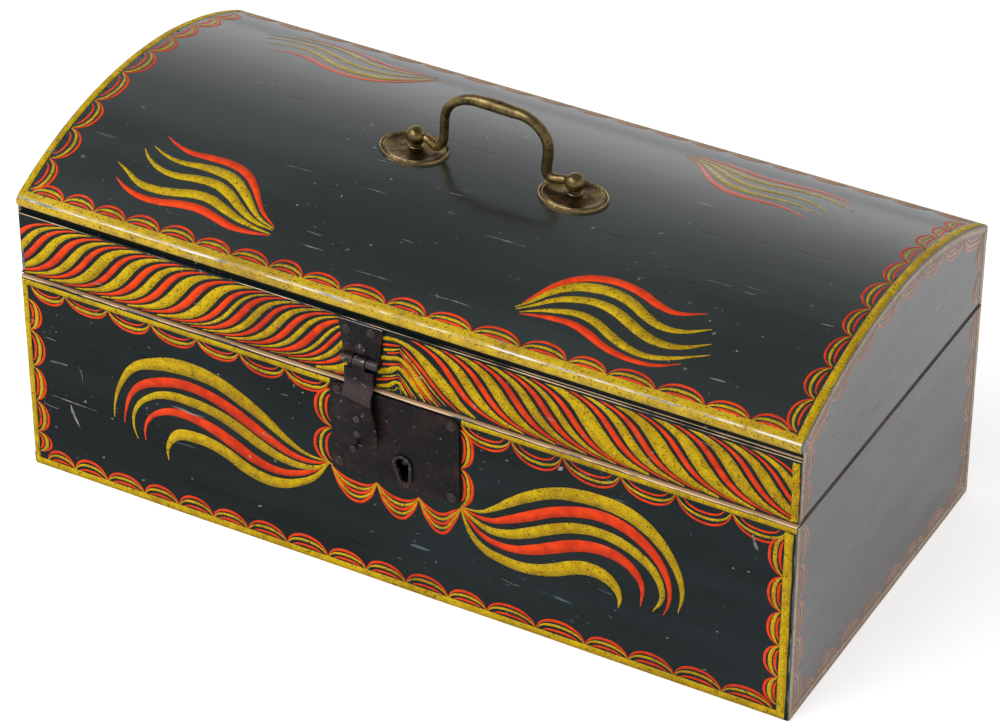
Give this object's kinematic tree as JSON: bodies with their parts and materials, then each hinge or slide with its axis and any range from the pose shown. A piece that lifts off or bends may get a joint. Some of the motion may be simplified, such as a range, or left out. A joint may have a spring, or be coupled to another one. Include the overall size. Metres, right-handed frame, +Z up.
{
  "type": "dome top box",
  "caption": "Painted wooden storage box with a domed lid on back hinges, an iron lock with a hasp in front and a brass bail handle on top.",
  "frame": {"origin": "on the floor, under the middle of the case", "axes": "+X along the length, to the right as seen from the front; the front faces -Y; +Z is up"},
  "size_m": [0.432, 0.226, 0.2293],
  "materials": {
    "painted_wood": "dark green-black paint with yellow and red ornament under aged varnish",
    "bare_wood": "unpainted pine, aged",
    "black_iron": "dark japanned iron, worn",
    "nail_iron": "dark iron",
    "aged_brass": "tarnished brass"
  },
  "bodies": {
    "case": {"bottom_board": "bare_wood", "front_board": "painted_wood", "back_board": "painted_wood", "left_end_board": "painted_wood", "right_end_board": "painted_wood", "case_nails": "nail_iron", "bottom_nails": "nail_iron", "case_hinge_leaf_left": "black_iron", "case_hinge_leaf_right": "black_iron", "hinge_pins": "black_iron", "case_hinge_screws": "black_iron", "lock_plate": "black_iron", "lock_plate_nails": "nail_iron", "keyhole_rim": "black_iron", "lock_case": "black_iron", "drill_pin": "black_iron", "bolt_spring": "black_iron"},
    "lid": {"dome_board": "painted_wood", "lid_front_rail": "painted_wood", "lid_back_rail": "painted_wood", "lid_left_end": "painted_wood", "lid_right_end": "painted_wood", "rail_nails": "nail_iron", "dome_nails": "nail_iron", "lid_hinge_leaf_left": "black_iron", "lid_hinge_leaf_right": "black_iron", "lid_hinge_screws": "black_iron", "hasp_plate": "black_iron", "hasp_plate_nails": "nail_iron", "hasp_pin": "black_iron", "rosette_left": "aged_brass", "rosette_right": "aged_brass", "handle_post_left": "aged_brass", "handle_post_right": "aged_brass", "post_washers": "nail_iron", "post_nuts": "nail_iron"},
    "hasp": {"hasp_strap": "black_iron", "hasp_staple": "black_iron", "hasp_knob": "nail_iron"},
    "bail": {"bail": "aged_brass"},
    "bolt": {"lock_bolt": "black_iron"}
  },
  "joints": [
    {"name": "lid_hinge", "type": "hinge", "parent": "case", "child": "lid", "pos_m": [0, 0.108, 0.117], "axis": [-1, 0, 0], "range_deg": [0, 100]},
    {"name": "hasp_hinge", "type": "hinge", "parent": "lid", "child": "hasp", "pos_m": [-0.0173, -0.1064, 0.1316], "axis": [-1, 0, 0], "range_deg": [0, 130]},
    {"name": "bail_hinge", "type": "hinge", "parent": "lid", "child": "bail", "pos_m": [0, -0.004, 0.1956], "axis": [1, 0, 0], "range_deg": [-96, 96]},
    {"name": "bolt_slide", "type": "slide", "parent": "case", "child": "bolt", "axis": [-1, 0, 0], "range_m": [0, 0.008]}
  ]
}
